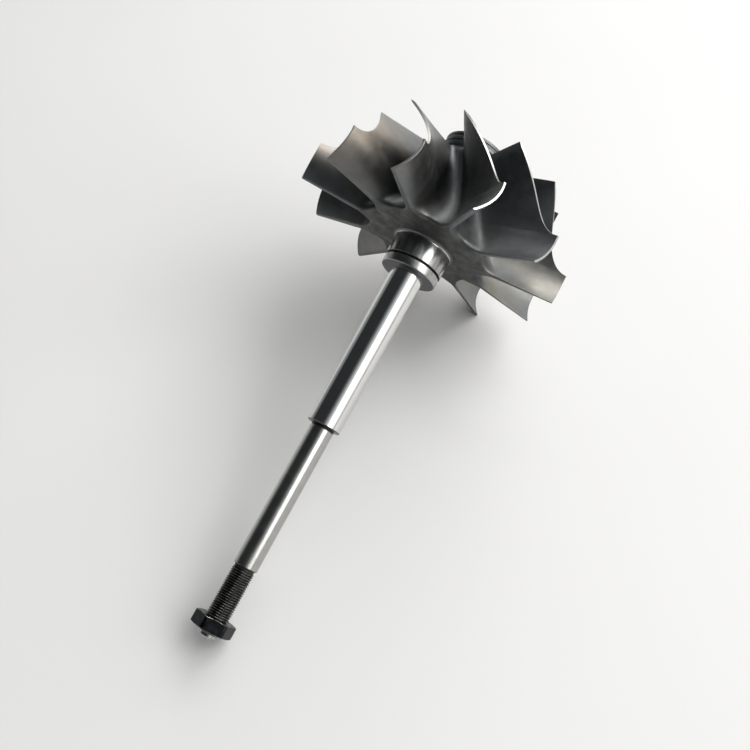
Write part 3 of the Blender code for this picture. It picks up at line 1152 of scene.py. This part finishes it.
def toward(tree, direction, place):
    """Return how closely a world direction points this way, as a cosine."""
    dot = node(tree, "ShaderNodeVectorMath", operation="DOT_PRODUCT")
    dot.inputs[1].default_value = Vector(direction).normalized()
    feed(tree, place, dot.inputs[0])
    return dot.outputs["Value"]


def lobe(tree, place, side, reach, falloff):
    """Return a soft patch of light round a direction: 1 at its middle and 0 beyond its reach."""
    return calculate(tree, "POWER", spread(tree, toward(tree, side, place), reach), falloff)


def wall_band(tree, place, height):
    """Return the strength of the pale ground and of the low wall that rises on the far side."""
    side = spread(tree, toward(tree, FAR_SIDE, place), FAR_REACH)
    top = blend_value(tree, side, GROUND_TOP, WALL_TOP)
    below = spread(tree, calculate(tree, "SUBTRACT", top, height), WALL_FADE)
    return product(tree, below, blend_value(tree, side, GROUND_GLOW, WALL_GLOW))


def near_wall(tree, place, height):
    """Return the strength of the pale low wall in front of the rotor."""
    facing = spread(tree, toward(tree, NEAR_SIDE, place), NEAR_REACH, (0.0, NEAR_GLOW))
    return product(tree, facing, spread(tree, height, NEAR_TOP))


def add_room():
    """Surround the scene with a dim room: a bright window side, an open door side and pale low walls."""
    world = bpy.data.worlds.new("studio")
    bpy.context.scene.world = world
    world.use_nodes = True
    tree = world.node_tree
    place = node(tree, "ShaderNodeTexCoord").outputs["Generated"]
    height = coordinates(tree, place)[2]
    window = lobe(tree, place, WINDOW_SIDE, WINDOW_REACH, WINDOW_FALLOFF)
    window = product(tree, window, spread(tree, height, WINDOW_SILL, WINDOW_SILL_SHARE))
    door = lobe(tree, place, DOOR_SIDE, DOOR_REACH, DOOR_FALLOFF)
    tint = blend_colour(tree, spread(tree, window, DIM_WINDOW_RANGE), ROOM_TINT, DIM_WINDOW_TINT)
    tint = blend_colour(tree, spread(tree, window, WINDOW_RANGE), tint, WINDOW_TINT)
    tint = blend_colour(tree, door, tint, DOOR_TINT)
    walls = calculate(tree, "MAXIMUM", wall_band(tree, place, height), near_wall(tree, place, height))
    glow = calculate(tree, "ADD", spread(tree, window, WHOLE, (ROOM_GLOW, WINDOW_GLOW)), walls)
    glow = calculate(tree, "ADD", glow, spread(tree, door, WHOLE, (0.0, DOOR_GLOW)))
    shade = tree.nodes["Background"]
    feed(tree, tint, shade.inputs["Color"])
    feed(tree, glow, shade.inputs["Strength"])


def add_camera():
    """Place the camera where the photograph was taken from."""
    data = bpy.data.cameras.new("camera")
    data.sensor_width = SENSOR_WIDTH_MM
    data.lens = FOCAL_LENGTH_PX / IMAGE_WIDTH_PX * SENSOR_WIDTH_MM
    data.clip_start = NEAREST_SEEN
    data.clip_end = FARTHEST_SEEN
    camera = bpy.data.objects.new("camera", data)
    bpy.context.scene.collection.objects.link(camera)
    place = Matrix.Translation(WHEEL_BACK + Vector(CAMERA_FROM_WHEEL))
    heading = Matrix.Rotation(CAMERA_AZIMUTH, 4, "Z")
    tilt = Matrix.Rotation(math.pi / 2 - CAMERA_ELEVATION, 4, "X")
    roll = Matrix.Rotation(-CAMERA_ROLL, 4, "Z")
    camera.matrix_world = place @ heading @ tilt @ roll
    bpy.context.scene.camera = camera


def main():
    """Build, dress and light the rotor."""
    bpy.context.scene.view_settings.view_transform = "Standard"
    boss = ground_steel_material("ground_boss", BOSS_TONES, BOSS_ROUGHNESS, 0.3)
    journal = ground_steel_material("ground_journal", JOURNAL_TONES, JOURNAL_ROUGHNESS, 0.12)
    spindle = ground_steel_material("ground_spindle", SPINDLE_TONES, SPINDLE_ROUGHNESS, 0.3)
    wheel = turbine_wheel(cast_material(), ground_edge_material())
    shaft = shaft_core([boss, journal, spindle, turned_face_material(), recess_shade_material()])
    thread = threaded_end(thread_material(), spindle)
    nut = shaft_nut(black_nut_material(), wear_and_glint_nut_material())
    blades = [f"blade_{k + 1:02d}" for k in range(BLADE_COUNT)]
    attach(wheel, "rotor")
    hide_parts("wheel_hub", *blades)
    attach(shaft, "rotor")
    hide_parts("rotor_shaft")
    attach(thread, "rotor")
    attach(nut, "nut")
    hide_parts("shaft_nut")
    add_floor()
    add_room()
    for name, place, size, power in WINDOWS:
        add_window(name, place, size, power)
    add_camera()


main()
